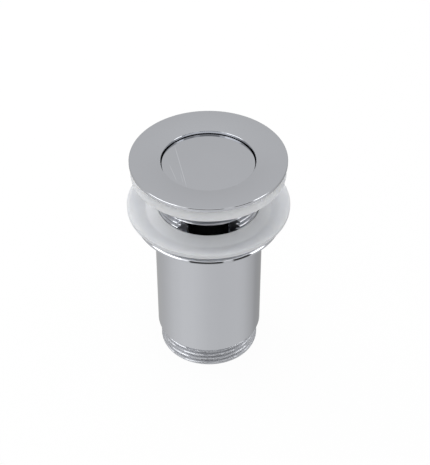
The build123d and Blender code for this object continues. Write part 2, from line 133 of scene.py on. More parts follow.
class WasteFlange(bpy.types.PropertyGroup):
    """Flange, threaded neck and spoked hub"""

    radius: length("Radius", "Outer radius of the flange", outer_radius("flange_body"))
    edge_round: length("Edge round", "Round on the flange's edge", 0.00035)
    land: length("Land", "Flat rim before the top falls to the mouth", 0.0008)
    mouth_fall: length("Mouth fall", "Rim down to the mouth's edge", 0.00115)
    mouth_round: length("Mouth round", "Round on the mouth's edge", 0.0002)
    under_land: length("Underside land", "Flat underside of the rim", 0.004)
    under_fall: length("Underside fall", "How far the underside falls to the neck", 0.0009)
    mouth_radius: length("Mouth radius", "Bore that the plug closes", 0.019)
    bore_radius: length("Bore radius", "Bore below the conical seat", 0.0172)
    seat_top: length("Seat depth", "Flange top down to the conical seat", 0.0062)
    seat_rise: length("Seat height", "Height of the conical seat", 0.0013)
    neck_chamfer: length("Neck chamfer", "Chamfer at the neck's lower end", 0.0008)
    slot_top: length("Slot drop", "Flange top down to the slot's upper edge", 0.0175)
    slot_height: length("Slot height", "Height of the overflow slots", 0.012)
    cutter_radius: length("Cutter radius", "Radius of the disc cutter that makes the slots", 0.0294)
    cutter_distance: length("Cutter distance", "Axis to the middle of the disc cutter", 0.0435)
    slot_bevel: length("Slot bevel", "Bevel along the slot's edges", 0.0002)
    hub_bore: length("Hub bore", "Radius of the hole for the cartridge's stem", 0.00505)
    hub_radius: length("Hub radius", "Outer radius of the hub", 0.00845)
    hub_height: length("Hub height", "Height of the hub", 0.005)
    spoke_height: length("Spoke height", "Height of the spokes", 0.004)
    spoke_width: length("Spoke width", "Width of a spoke", 0.003)
    spokes: IntProperty(name="Spokes", description="Number of spokes", default=4, min=2)


class WastePlug(bpy.types.PropertyGroup):
    """Chromed cap, and the spindle that carries it"""

    radius: length("Radius", "Outer radius of the cap", outer_radius("plug_cap"))
    crown: length("Crown", "Rise of the cap's top over its rim", 0.0003)
    edge_round: length("Edge round", "Round on the cap's rim", 0.00012)
    thickness: length("Thickness", "Thickness of the cap at its rim", 0.0018)
    boss_radius: length("Boss radius", "Radius of the boss under the cap", 0.006)
    boss_hole: length("Boss hole", "Radius of the hole in the boss", 0.00305)
    hole_rise: length("Hole rise", "How far the hole goes up into the cap", 0.0005)
    spindle_radius: length("Spindle radius", "Radius of the spindle", 0.003)
    spindle_neck: length("Spindle neck", "Radius of the spindle inside the cam sleeve", 0.0022)
    spindle_groove: length("Clip groove", "Radius at the bottom of the clip's groove", 0.0018)
    spindle_pitch: length("Spindle pitch", "Pitch of the spindle's thread", 0.001)
    spindle_depth: length("Spindle thread depth", "Depth of the spindle's thread", 0.00055)


class WasteWashers(bpy.types.PropertyGroup):
    """The two soft washers"""

    bore: length("Bore", "Bore radius of both washers", 0.021305)
    upper_rim: length("Upper rim", "Outer radius of the upper washer's rim", outer_radius("upper_washer"))
    upper_top: length("Upper top", "Outer radius of the upper washer under the flange", 0.0306)
    upper_valley: length("Upper valley", "Thickness of the upper washer where its dish is deepest", 0.0032)
    lower_rim: length("Lower rim", "Outer radius of the lower washer's rim", outer_radius("lower_washer"))
    lower_foot: length("Lower foot", "Outer radius of the lower washer on the tube", 0.0288)
    lower_valley: length("Lower valley", "Thickness of the lower washer where its dish is deepest", 0.00335)
    rim_width: length("Rim width", "Width of the flat on the rims", 0.001)
    upper_rim_height: length("Upper rim height", "Height of the upper rim's outer face", 0.001)
    lower_rim_height: length("Lower rim height", "Height of the lower rim's outer face", 0.0016)
    upper_collar_drop: length("Upper collar drop", "Height from the upper rim to the washer's inner edge", 0.0005)
    lip_gap: length("Lip gap", "Room between the lower washer's soft lip and the thread's crests", 0.00006)
    lip_height: length("Lip height", "Height of the lower washer's soft lip", 0.0007)
    valley_share: share("Valley place", "Way from the bore to the rim where the dish is deepest", 0.36)
    soft_cuts: IntProperty(name="Softening", description="Rounds of corner cutting on the outline", default=3)
    turns: IntProperty(name="Points a turn", description="Mesh points round the axis", default=200, min=24)


class WasteTube(bpy.types.PropertyGroup):
    """Screwed tube with its clamping flange and tail"""

    radius: length("Radius", "Outer radius of the tube", 0.02215)
    flange_radius: length("Flange radius", "Outer radius of the clamping flange", outer_radius("tube_body"))
    flange_height: length("Flange height", "Thickness of the clamping flange", 0.00165)
    flange_round: length("Flange round", "Round along the flange's upper edge", 0.0013)
    under_round: length("Underside round", "Round along the flange's lower edge", 0.0002)
    root_round: length("Root round", "Round between the flange and the tube", 0.0008)
    tail_length: length("Tail length", "Tail end to the shoulder", 0.01015)
    tail_bore: length("Tail bore", "Bore of the tail", 0.0182)
    tail_chamfer: length("Tail chamfer", "Chamfer at the tail's end", 0.0003)
    tail_plain: length("Plain end", "Plain ring below the tail's thread", 0.0005)
    tail_runout: length("Run-out", "Height over which the tail's thread starts", 0.0008)
    tail_lead: length("Thread lead", "How far the tail's thread is shifted down", 0.00073)
    shoulder_chamfer: length("Shoulder chamfer", "Chamfer at the tube's lower end", 0.0002)
    step_level: length("Step", "Height where the threaded bore ends", 0.020446)


class WasteSpring(bpy.types.PropertyGroup):
    """Return spring of the plug"""

    wire: length("Wire", "Diameter of the wire", 0.0008)
    radius: length("Radius", "Radius to the middle of the wire", 0.0026)
    coils: FloatProperty(name="Coils", description="Turns of the spring", default=9.0, min=2)
    closed_coils: FloatProperty(name="Closed coils", description="Closed turns at each end", default=1.0, min=0)


class WasteFinishes(bpy.types.PropertyGroup):
    """Colours of the finishes"""

    chrome: colour("Chrome", "Colour of the chrome plate", (0.499, 0.510, 0.537))
    washer: colour("Washer", "Colour of the soft washers", (0.82, 0.833, 0.854))
    black: colour("Black acetal", "Colour of the cartridge", (0.03, 0.03, 0.032))
    white: colour("White acetal", "Colour of the cam pieces", (0.62, 0.61, 0.56))
    steel: colour("Steel", "Colour of the stainless steel", (0.42, 0.415, 0.40))
    brass: colour("Brass", "Colour of the turned brass", (0.62, 0.44, 0.16))
    rubber: colour("Rubber", "Colour of the seals", (0.018, 0.018, 0.019))


class WasteStage(bpy.types.PropertyGroup):
    """Camera, lamps and floor"""

    camera_height: length("Camera height", "Height of the camera over the floor", 0.40766)
    camera_back: length("Camera back", "How far in front of the object the camera is", 0.39484)
    camera_side: length("Camera side", "How far right of the axis the camera is", 0.00263)
    camera_tilt: FloatProperty(
        name="Camera tilt", description="Angle of the view below the horizon",
        default=radians(41.526), subtype="ANGLE",
    )
    lens: FloatProperty(name="Lens", description="Focal length for a 36 mm sensor", default=98.29)
    floor_radius: length("Floor radius", "Radius of the floor", 1.6)
    floor_depth: length("Floor depth", "Thickness of the floor", 0.004)
    floor_glow: share("Floor glow", "Share of the floor that shows white and takes no shadow", 0.96)


# Shapes: arrays of points
def grid_faces(rows, columns, closed_columns):
    """Quads between neighbouring points of a grid that is closed along its rows."""
    last = columns if closed_columns else columns - 1
    row, column = np.meshgrid(np.arange(rows), np.arange(last), indexing="ij")
    next_row, next_column = (row + 1) % rows, (column + 1) % columns
    return np.stack((
        row * columns + column, next_row * columns + column,
        next_row * columns + next_column, row * columns + next_column,
    ), axis=-1).reshape(-1, 4)


def new_object(name, points, quads, triangles=()):
    """A mesh object from an array of points and arrays of the points round each face."""
    triangles = np.asarray(triangles, int).reshape(-1, 3)
    corners = np.concatenate((quads.ravel(), triangles.ravel()))
    sides = np.concatenate((np.full(len(quads), 4), np.full(len(triangles), 3)))
    mesh = bpy.data.meshes.new(name)
    mesh.vertices.add(len(points))
    mesh.vertices.foreach_set("co", np.asarray(points, np.float32).ravel())
    mesh.loops.add(len(corners))
    mesh.loops.foreach_set("vertex_index", corners.astype(np.int32))
    mesh.polygons.add(len(sides))
    mesh.polygons.foreach_set("loop_start", (np.cumsum(sides) - sides).astype(np.int32))
    mesh.update(calc_edges=True)
    mesh.shade_smooth()
    made = bpy.data.objects.new(name, mesh)
    bpy.context.scene.collection.objects.link(made)
    return made


def ring_object(name, points):
    """A closed ring: points[a, b] is point b of the profile at angle a, and both go round to their start."""
    rows, columns = points.shape[:2]
    return new_object(name, points.reshape(-1, 3), grid_faces(rows, columns, True))


def capped_object(name, points):
    """A closed body: like a ring, but the profile's two ends are closed by a fan to their middle."""
    rows, columns = points.shape[:2]
    start, end = rows * columns, rows * columns + 1
    row = np.arange(rows)
    following = (row + 1) % rows
    first, last = row * columns, row * columns + columns - 1
    fans = np.concatenate((
        np.stack((np.full(rows, start), following * columns, first), axis=-1),
        np.stack((last, following * columns + columns - 1, np.full(rows, end)), axis=-1),
    ))
    middles = points[:, [0, -1]].mean(axis=0)
    everything = np.concatenate((points.reshape(-1, 3), middles))
    return new_object(name, everything, grid_faces(rows, columns, False), fans)


def turned(turns, *parts):
    """Points of a turned surface: x = radius cos(angle), y = radius sin(angle), z = height. The parts of its
    outline follow each other as (radii, heights), with one row of radii for the whole turn or one for each
    angle."""
    angles = 2 * pi * np.arange(turns)[:, None] / turns
    radii = np.concatenate([np.broadcast_to(part, (turns, len(heights))) for part, heights in parts], axis=1)
    heights = np.broadcast_to(np.concatenate([heights for _, heights in parts]), radii.shape)
    return np.stack((radii * np.cos(angles), radii * np.sin(angles), heights), axis=-1)


def outline(corners, closed=True, steps=6, guard=0.12):
    """Radii and heights of an outline with rounded corners (radius, height, round). An arc touches both sides of
    its corner at round / tan(half the corner's angle), and a guard point beside each end of it keeps the flat
    sides flat when they are shaded."""
    places = np.array([corner[:2] for corner in corners], float)
    pieces = []
    for number, (place, (_, _, rounding)) in enumerate(zip(places, corners)):
        if rounding == 0 or (not closed and number in (0, len(corners) - 1)):
            pieces.append(place[None])
            continue
        before = places[number - 1] - place
        after = places[(number + 1) % len(places)] - place
        before, after = before / np.linalg.norm(before), after / np.linalg.norm(after)
        half = np.arccos(np.clip(before @ after, -1, 1)) / 2
        reach = rounding / tan(half)
        centre = place + (before + after) / np.linalg.norm(before + after) * rounding / sin(half)
        start, end = place + before * reach - centre, place + after * reach - centre
        angle = atan2(start[1], start[0])
        sweep = (atan2(end[1], end[0]) - angle + pi) % (2 * pi) - pi
        angles = angle + sweep * np.linspace(0, 1, steps + 1)
        arc = centre + rounding * np.stack((np.cos(angles), np.sin(angles)), axis=-1)
        margin = guard * rounding
        pieces += [(arc[0] + before * margin)[None], arc, (arc[-1] + after * margin)[None]]
    radii, heights = np.concatenate(pieces).T
    return radii, heights


def softened(points, times):
    """A closed outline with its corners cut: each round keeps the middle half of every side, so the outline
    tends to a smooth curve that touches the middle of each side."""
    points = np.asarray(points, float)
    for _ in range(times):
        following = np.roll(points, -1, axis=0)
        points = np.stack((0.75 * points + 0.25 * following, 0.25 * points + 0.75 * following), axis=1)
        points = points.reshape(-1, 2)
    return points.T


def curve_between(start, end, leave, arrive, count):
    """Points between two places, on the cubic that leaves and arrives in the given directions; the ends are
    left out."""
    t = np.linspace(0, 1, count + 2)[1:-1, None]
    start, end, leave, arrive = (np.array(row, float) for row in (start, end, leave, arrive))
    return (
        (2 * t**3 - 3 * t**2 + 1) * start + (t**3 - 2 * t**2 + t) * leave
        + (3 * t**2 - 2 * t**3) * end + (t**3 - t**2) * arrive
    )


def thread_depth_share(phase):
    """How deep a thread is at a place: 0 on its crest, 1 in its root. The phase counts pitches. Each of the two
    flanks takes a third of the pitch, and mixes a straight line with an eased step."""
    from_crest = np.abs((phase + 0.5) % 1 - 0.5)
    flank = np.clip((from_crest - 1 / 12) * 3, 0, 1)
    return 0.55 * flank + 0.45 * flank * flank * (3 - 2 * flank)


def threaded_radii(radius, depth, pitch, heights, turns, strength=1):
    """Radius of a right-handed thread at each angle and height: it is deepest half a pitch above each crest, and
    the crest climbs one pitch in a turn. The strength fades the thread in and out along its length."""
    angles = np.arange(turns)[:, None] / turns
    return radius - depth * strength * thread_depth_share(heights[None] / pitch - angles)


def fade(values, start, end):
    """0 before start and 1 after end, with an eased step between."""
    t = np.clip((values - start) / (end - start), 0, 1)
    return t * t * (3 - 2 * t)


def combined(target, operand, operation):
    """The target joined with the operand or cut by it. The operand is used up."""
    modifier = target.modifiers.new("combine", "BOOLEAN")
    modifier.object, modifier.operation, modifier.solver = operand, operation, "MANIFOLD"
    shape = target.evaluated_get(bpy.context.evaluated_depsgraph_get())
    mesh = bpy.data.meshes.new_from_object(shape)
    target.modifiers.clear()
    old, target.data = target.data, mesh
    bpy.data.meshes.remove(old)
    bpy.data.objects.remove(operand)
    return target


def with_creases(target):
    """Shades the object smooth, apart from the edges that turn by more than 50 degrees."""
    target.data.shade_smooth()
    target.data.set_sharp_from_angle(angle=radians(50))
    return target


def outward(target):
    """Turns all faces outward, for a closed shape made of parts."""
    shape = bmesh.new()
    shape.from_mesh(target.data)
    bmesh.ops.recalc_face_normals(shape, faces=shape.faces)
    shape.to_mesh(target.data)
    shape.free()
    return target


def dress(piece, slot, kind, node):
    """Gives a piece its finish and hides the node it stands for; its slot is not used. A cut or joined shape
    comes with an empty place for a material, which is cleared first."""
    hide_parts(node)
    piece.data.materials.clear()
    piece.data.materials.append(finish_for(kind))


def ride_and_dress(piece, body, *looks):
    """A piece that moves with one body."""
    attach(piece, body)
    dress(piece, *looks)


# Finishes
class Value:
    """A number from one of a finish's nodes that can be used in arithmetic; each step adds a Math node."""

    def __init__(self, finish, socket):
        self.finish = finish
        self.socket = socket

    def math(self, operation, *others, first=None):
        values = (self if first is None else first, *others)
        return self.finish.add("ShaderNodeMath", {"operation": operation}, dict(enumerate(values)))

    def __add__(self, other):
        return self.math("ADD", other)

    def __radd__(self, other):
        return self.math("ADD", other)

    def __sub__(self, other):
        return self.math("SUBTRACT", other)

    def __rsub__(self, other):
        return self.math("SUBTRACT", self, first=other)

    def __mul__(self, other):
        return self.math("MULTIPLY", other)

    def __rmul__(self, other):
        return self.math("MULTIPLY", other)

    def __truediv__(self, other):
        return self.math("DIVIDE", other)

    def __pow__(self, other):
        return self.math("POWER", other)

    def clamped(self):
        return self.math("MAXIMUM", 0.0).math("MINIMUM", 1.0)

    def step(self, start, end):
        """0 up to start and 1 from end on, straight between."""
        return ((self - start) / (end - start)).clamped()


class Finish:
    """A material or world being made out of nodes."""

    def __init__(self, holder):
        holder.use_nodes = True
        self.holder = holder
        self.tree = holder.node_tree
        self.tree.nodes.clear()

    def add(self, kind, settings=None, sockets=None, outputs=(0,)):
        """One node of a kind: its settings first, such as an operation or a ramp's stops, then the values or
        links of its sockets, by name or number. Gives its output, or a list of them."""
        node = self.tree.nodes.new(kind)
        for name, value in (settings or {}).items():
            if name == "stops":
                stops = node.color_ramp.elements
                for _ in range(len(value) - len(stops)):
                    stops.new(1.0)
                for stop, (place, tone) in zip(stops, value):
                    stop.position, stop.color = place, tone
            else:
                setattr(node, name, value)
        for name, value in (sockets or {}).items():
            if isinstance(value, Value):
                self.tree.links.new(value.socket, node.inputs[name])
            else:
                node.inputs[name].default_value = value
        made = [Value(self, node.outputs[name]) for name in outputs]
        return made[0] if len(made) == 1 else made

    def place(self):
        """Object coordinates, in metres."""
        return self.add("ShaderNodeTexCoord", outputs=("Object",))

    def parts(self, vector):
        """The three numbers of a vector."""
        return self.add("ShaderNodeSeparateXYZ", None, {0: vector}, "XYZ")

    def stretched(self, vector, scale):
        return self.add("ShaderNodeMapping", None, {"Vector": vector, "Scale": scale})

    def noise(self, vector, scale, detail):
        return self.add("ShaderNodeTexNoise", None, {"Vector": vector, "Scale": scale, "Detail": detail})

    def mixed(self, factor, low, high):
        """A colour between two colours. The node's colour sockets are 6 and 7 on the way in and 2 on the way
        out."""
        return self.add("ShaderNodeMix", {"data_type": "RGBA"}, {0: factor, 6: low, 7: high}, (2,))

    def bump(self, height, distance):
        return self.add("ShaderNodeBump", None, {"Height": height, "Distance": distance})

    def rays(self, *kinds):
        """For each kind of ray, 1 where that kind looks and else 0."""
        return self.add("ShaderNodeLightPath", outputs=[f"Is {kind} Ray" for kind in kinds])

    def surface(self, **sockets):
        """The shader of the material, with words for its sockets."""
        self.output(self.add("ShaderNodeBsdfPrincipled", None, {
            name.replace("_", " "): value for name, value in sockets.items()
        }))

    def output(self, shader, kind="ShaderNodeOutputMaterial"):
        end = self.tree.nodes.new(kind)
        self.tree.links.new(shader.socket, end.inputs["Surface"])


def new_finish(name):
    return Finish(bpy.data.materials.new(name))


def shade(tone, factor=1.0):
    """A colour times a number, with full cover."""
    return (*(channel * factor for channel in tone), 1.0)


def from_axis(x, y):
    """Distance from the axis."""
    return (x * x + y * y) ** 0.5


# Painted reflection lines on the plug, lighter in the chrome's colour: start and end in metres, and how strongly
# each shows
PAINTED_LINES = (
    ((-0.0139, 0.0122), (-0.00825, -0.0158), 1.0),
    ((-0.0156, -0.0007), (-0.0122, -0.0119), 0.7),
    ((-0.0110, -0.0063), (-0.0097, -0.0131), 0.4),
)
PAINTED_LINE_WIDTH = 0.00016

# How much duller the chrome is where it was cut, in the thread's roots and on the tail
CUT_DULLNESS, ROOT_DULLNESS, TAIL_DULLNESS = 0.26, 0.06, 0.12
# Shades of the chrome's colour: lighter for the painted reflection lines, painted shade in the thread's roots,
# and painted reflections on the front slot's end walls, dark on the right and light on the left
PAINTED_LINE_LIGHT, ROOT_PAINTED_SHADE, RIGHT_WALL_PAINTED_DARK_REFLECTION, LEFT_WALL_PAINTED_LIGHT_REFLECTION = 1.25, 0.85, 0.28, 1.7
# Painted shade on the lower washer's outer rim: its colour is darker there
RIM_PAINTED_SHADE = 0.86


def painted_reflection_lines(x, y):
    """How much of a painted reflection line is at a place: 1 on the line from its start to its end, and 0 beside
    it.
    """
    shown = x * 0.0
    for (x0, y0), (x1, y1), strength in PAINTED_LINES:
        run = hypot(x1 - x0, y1 - y0)
        ahead, aside = (x1 - x0) / run, (y1 - y0) / run
        along = (x - x0) * ahead + (y - y0) * aside
        across = ((x - x0) * aside - (y - y0) * ahead).math("ABSOLUTE")
        ends = along.step(0.0, run / 5) * along.step(run, run * 4 / 5)
        shown = shown + across.step(PAINTED_LINE_WIDTH, PAINTED_LINE_WIDTH / 2) * ends * strength
    return shown.clamped()


def slot_walls_for_painted_reflection(x, y, z, cut):
    """How much of a cut surface at a place is an end wall of the front slot, left by the disc cutter; these walls
    get a painted reflection.
    """
    sizes = bpy.context.scene.waste_flange
    reach, ceiling = sizes.cutter_radius, FLANGE_TOP - sizes.slot_top
    near = from_axis(x, y + sizes.cutter_distance).step(reach + 0.0003, reach + 0.0001)
    return near * cut * z.step(TUBE_TOP - 0.0005, TUBE_TOP) * z.step(ceiling, ceiling - 0.0002)


def chrome_finish(name, tone, crest_radius=None, depth=None):
    """Polished chrome plate: faint waves of the polishing wheel and a thin haze. Where it has a thread, all
    that was cut is duller, the roots get painted shade, and the front slot's end walls get painted reflections,
    dark on the right and light on the left. Where it has none, it shows painted reflection lines."""
    finish = new_finish(name)
    place = finish.place()
    x, y, z = finish.parts(place)
    haze = finish.noise(place, 90.0, 4.0)
    fine = finish.noise(finish.stretched(place, (1.0, 1.0, 6.0)), 900.0, 2.0)
    dull = haze.step(0.45, 0.75) * 0.02 + fine * 0.01 + 0.035
    base = finish.mixed(haze, shade(tone, 0.985), shade(tone, 1.01))
    if crest_radius:
        radius = from_axis(x, y)
        cut = radius.step(crest_radius + 0.1 * depth, crest_radius) * radius.step(
            crest_radius - 2.4 * depth, crest_radius - 2.2 * depth)
        cut = cut * z.step(FLANGE_UNDER - depth, FLANGE_UNDER - 3 * depth)
        root = ((crest_radius - radius) / depth).step(0.25, 0.95) * cut
        tail = cut * z.step(0.02, 0.01)
        dull = dull + cut * CUT_DULLNESS + root * ROOT_DULLNESS + tail * TAIL_DULLNESS
        # Painted shade: darker chrome colour in the thread's roots
        base = finish.mixed(root, base, shade(tone, ROOT_PAINTED_SHADE))
        # Painted reflections: the front slot's right end wall darker, its left end wall lighter
        wall = slot_walls_for_painted_reflection(x, y, z, cut)
        base = finish.mixed(wall * x.step(0.001, 0.003), base, shade(tone, RIGHT_WALL_PAINTED_DARK_REFLECTION))
        base = finish.mixed(wall * x.step(-0.001, -0.003), base, shade(tone, LEFT_WALL_PAINTED_LIGHT_REFLECTION))
    else:
        # Painted reflection: lighter chrome colour along the plug's lines
        base = finish.mixed(painted_reflection_lines(x, y), base, shade(tone, PAINTED_LINE_LIGHT))
    waves = finish.noise(place, 60.0, 1.0)
    finish.surface(
        Base_Color=base, Metallic=1.0, Roughness=dull,
        Normal=finish.bump(waves + fine * 0.02, 0.00004),
    )
    return finish.holder


def washer_finish(name, tone):
    """Soft translucent polythene: milky, with faint flow marks from the mould, a satin skin, and painted shade
    near the lower washer's rim.
    """
    finish = new_finish(name)
    place = finish.place()
    x, y, z = finish.parts(place)
    radius = from_axis(x, y)
    cloud = finish.noise(place, 70.0, 3.0)
    flow = finish.noise(finish.stretched(place, (1.0, 1.0, 3.0)), 260.0, 4.0)
    rings = (radius * 9000.0 + cloud * 6.0).math("SINE") * 0.5 + 0.5
    grain = finish.noise(place, 2600.0, 2.0)
    base = finish.mixed((cloud * 0.7 + flow * 0.3).step(0.3, 0.7), shade(tone, 0.96), shade(tone, 1.03))
    edge = bpy.context.scene.waste_washers.lower_rim
    # Painted shade: darker washer colour near the lower washer's rim
    base = finish.mixed(radius.step(edge - 0.0015, edge - 0.0002), base, shade(tone, RIM_PAINTED_SHADE))
    finish.surface(
        Base_Color=base, Roughness=flow * 0.1 + 0.36, IOR=1.51,
        Subsurface_Weight=0.15, Subsurface_Radius=(0.0022, 0.0024, 0.0028), Subsurface_Scale=1.0,
        Normal=finish.bump(grain * 0.4 + rings * 0.1 + flow * 0.5, 0.00003),
    )
    return finish.holder


def acetal_finish(name, tone, gloss, marks):
    """Moulded acetal: a fine skin, faint tool marks up the sides, and patches that are a little lighter."""
    finish = new_finish(name)
    place = finish.place()
    cloud = finish.noise(place, 220.0, 3.0)
    draw = finish.noise(finish.stretched(place, (1.0, 1.0, 0.05)), 2200.0, 3.0)
    grain = finish.noise(place, 5200.0, 2.0)
    base = finish.mixed(cloud.step(0.35, 0.7), shade(tone, 0.9), shade(tone, 1.15))
    finish.surface(
        Base_Color=base, Roughness=cloud * 0.12 + draw * 0.08 + gloss,
        Normal=finish.bump(grain * 0.5 + draw * marks, 0.00002),
    )
    return finish.holder


def turned_metal_finish(name, tone, dullness, tarnish):
    """Turned metal: fine tool rings round the axis, a dull film in patches and a little tarnish."""
    finish = new_finish(name)
    place = finish.place()
    x, y, z = finish.parts(place)
    radius = from_axis(x, y)
    cloud = finish.noise(place, 240.0, 3.0)
    rings = ((radius + z) * 42000.0 + cloud * 3.0).math("SINE") * 0.5 + 0.5
    film = cloud.step(0.4, 0.75)
    finish.surface(
        Base_Color=finish.mixed(film, shade(tone, 1.05), shade(tone, 1 - tarnish)),
        Metallic=1.0, Roughness=film * 0.12 + rings * 0.06 + dullness,
        Normal=finish.bump(rings * 0.6 + cloud * 0.4, 0.000008),
    )
    return finish.holder


def rubber_finish(name, tone):
    """Moulded rubber: dull, with a faint bloom and a fine grain."""
    finish = new_finish(name)
    place = finish.place()
    bloom = finish.noise(place, 320.0, 4.0)
    grain = finish.noise(place, 4200.0, 2.0)
    finish.surface(
        Base_Color=finish.mixed(bloom.step(0.5, 0.8), shade(tone), shade(tone, 1.9)),
        Roughness=bloom * 0.2 + 0.5,
        Normal=finish.bump(grain, 0.00002),
    )
    return finish.holder


def finish_for(kind):
    """The finish of that kind, made when it is first asked for."""
    tones = bpy.context.scene.waste_finishes
    thread = bpy.context.scene.waste_thread
    maker, *values = {
        "chrome plate": (chrome_finish, tones.chrome),
        "threaded chrome": (chrome_finish, tones.chrome, thread.radius, thread.depth),
        "soft polythene": (washer_finish, tones.washer),
        "black acetal": (acetal_finish, tones.black, 0.06, 0.5),
        "white acetal": (acetal_finish, tones.white, 0.3, 0.3),
        "stainless steel": (turned_metal_finish, tones.steel, 0.2, 0.12),
        "turned brass": (turned_metal_finish, tones.brass, 0.24, 0.35),
        "seal rubber": (rubber_finish, tones.rubber),
    }[kind]
    return bpy.data.materials.get(kind) or maker(kind, *values)


# Pieces
def lifted(x, y, heights):
    """Points from grids of x and y, with one height for each row."""
    return np.stack((x, y, np.broadcast_to(heights[:, None], x.shape)), axis=-1)


def slot_cutter(sizes, side, bottom, top):
    """The disc that cuts an overflow slot: a cylinder beside the neck, in front for side -1, behind for +1."""
    points = turned(CUTTER_TURNS, ([sizes.cutter_radius] * 2, [bottom, top]))
    points[..., 1] += side * sizes.cutter_distance
    return capped_object("cutter", points)


def slot_bevel_cutter(sizes, thread, side, level, upward):
    """A wedge round the neck that bevels one long edge of a slot. Its section has four corners and opens
    outward, and is carried round the neck between the slot's two ends."""
    reach, distance = sizes.cutter_radius, sizes.cutter_distance
    crest = thread.radius
    half = np.arccos((crest**2 + distance**2 - reach**2) / (2 * crest * distance))
    middle = side * pi / 2
    angles = np.linspace(middle - half, middle + half, BEVEL_POINTS)
    bevel = sizes.slot_bevel
    radii, lifts = np.array([
        (crest - bevel, -bevel * 0.5), (crest + bevel, -bevel * 0.5),
        (crest + bevel, 2 * bevel), (crest - bevel, 0),
    ]).T
    return outward(capped_object("bevel", lifted(
        radii[:, None] * np.cos(angles), radii[:, None] * np.sin(angles), level + lifts * upward)))


def spoke_block(sizes, number, bottom):
    """One spoke: a straight block from the hub's wall into the neck's wall."""
    inner = (sizes.hub_bore + sizes.hub_radius) / 2
    outer = (sizes.bore_radius + THREAD_RADIUS) / 2 - THREAD_DEPTH / 2
    half = sizes.spoke_width / 2
    top = bottom + sizes.spoke_height
    across, heights = np.array([(-half, bottom), (half, bottom), (half, top), (-half, top)]).T
    along, across = np.array([[inner, outer]]), across[:, None]
    turn = 2 * pi * (number + 0.5) / sizes.spokes
    return outward(capped_object("spoke", lifted(
        along * cos(turn) - across * sin(turn), along * sin(turn) + across * cos(turn), heights)))


def make_flange(sizes, thread):
    """The flange, the threaded neck with its two slots, and the spoked hub. The flange's top falls from its rim
    to the mouth on an arc of a circle: height = top - sweep + sqrt(sweep squared - way from the rim squared)."""
    seat_top = FLANGE_TOP - sizes.seat_top
    root = FLANGE_UNDER - sizes.under_fall
    small = sizes.edge_round / 2
    rows = int((root - NECK_BOTTOM) / thread.pitch * thread.samples)
    thread_heights = np.linspace(NECK_BOTTOM, root, rows)
    rim = sizes.radius - sizes.land
    width = rim - sizes.mouth_radius
    sweep = (width**2 + sizes.mouth_fall**2) / (2 * sizes.mouth_fall)
    dish_radii = np.linspace(rim, sizes.mouth_radius + width / DISH_POINTS, DISH_POINTS)
    dish_heights = FLANGE_TOP - sweep + np.sqrt(sweep**2 - (rim - dish_radii) ** 2)
    radii, heights = outline([
        (thread.radius, root, 0),
        (sizes.radius - sizes.under_land, FLANGE_UNDER, small),
        (sizes.radius, FLANGE_UNDER, sizes.edge_round),
        (sizes.radius, FLANGE_TOP, sizes.edge_round),
        *((radius, height, 0) for radius, height in zip(dish_radii, dish_heights)),
        (sizes.mouth_radius, FLANGE_TOP - sizes.mouth_fall, sizes.mouth_round),
        (sizes.mouth_radius, seat_top, small),
        (sizes.bore_radius, seat_top - sizes.seat_rise, small),
        (sizes.bore_radius, NECK_BOTTOM, small),
        (thread.radius - 2 * sizes.neck_chamfer, NECK_BOTTOM, 0),
    ], closed=False)
    strength = 1 - fade(thread_heights, seat_top - 0.6 * thread.pitch, seat_top + 0.1 * thread.pitch)
    threaded = threaded_radii(
        thread.radius, thread.depth, thread.pitch, thread_heights, thread.turns, strength[None])
    chamfer = thread.radius - sizes.neck_chamfer + (thread_heights - NECK_BOTTOM)
    threaded = np.minimum(threaded, chamfer[None])
    points = turned(thread.turns, (threaded[:, :-1], thread_heights[:-1]), (radii, heights))
    flange = ring_object("basin_flange", points)
    hub_low = highest("hub_washer")
    hub_high = hub_low + sizes.hub_height
    hub = ring_object("hub", turned(HUB_TURNS, outline([
        (sizes.hub_radius, hub_low, small), (sizes.hub_radius, hub_high, small),
        (sizes.hub_bore, hub_high, small), (sizes.hub_bore, hub_low, small),
    ])))
    for number in range(sizes.spokes):
        hub = combined(hub, spoke_block(sizes, number, hub_low), "UNION")
    flange = combined(flange, hub, "UNION")
    top, bottom = FLANGE_TOP - sizes.slot_top, FLANGE_TOP - sizes.slot_top - sizes.slot_height
    for side in (-1, 1):
        flange = combined(flange, slot_cutter(sizes, side, bottom, top), "DIFFERENCE")
        for level, upward in ((top, 1), (bottom, -1)):
            bevel = slot_bevel_cutter(sizes, thread, side, level, upward)
            flange = combined(flange, bevel, "DIFFERENCE")
    return with_creases(flange)


def make_plug_cap(sizes):
    """The cap: a low crown, a rounded rim and a hollow boss. The crown's height falls with the square of the
    radius."""
    bottom, top = lowest("plug_cap"), highest("plug_cap")
    rim = top - sizes.crown
    under = rim - sizes.thickness
    small = sizes.edge_round
    radii, heights = outline([
        (sizes.boss_hole / 2, under + sizes.hole_rise, 0),
        (sizes.boss_hole, under + sizes.hole_rise, small / 2),
        (sizes.boss_hole, bottom, small / 2),
        (sizes.boss_radius, bottom, small / 2),
        (sizes.boss_radius, under, small / 2),
        (sizes.radius, under, small),
        (sizes.radius, rim, small),
        (sizes.radius - 4 * small, rim, 0),
    ], closed=False)
    crown_radii = np.linspace(radii[-1], sizes.radius / 40, CROWN_POINTS)
    crown_heights = rim + sizes.crown * (1 - (crown_radii / crown_radii[0]) ** 2)
    points = turned(PLUG_TURNS, (radii[:-1], heights[:-1]), (crown_radii, crown_heights))
    return with_creases(capped_object("plug_cover", points))


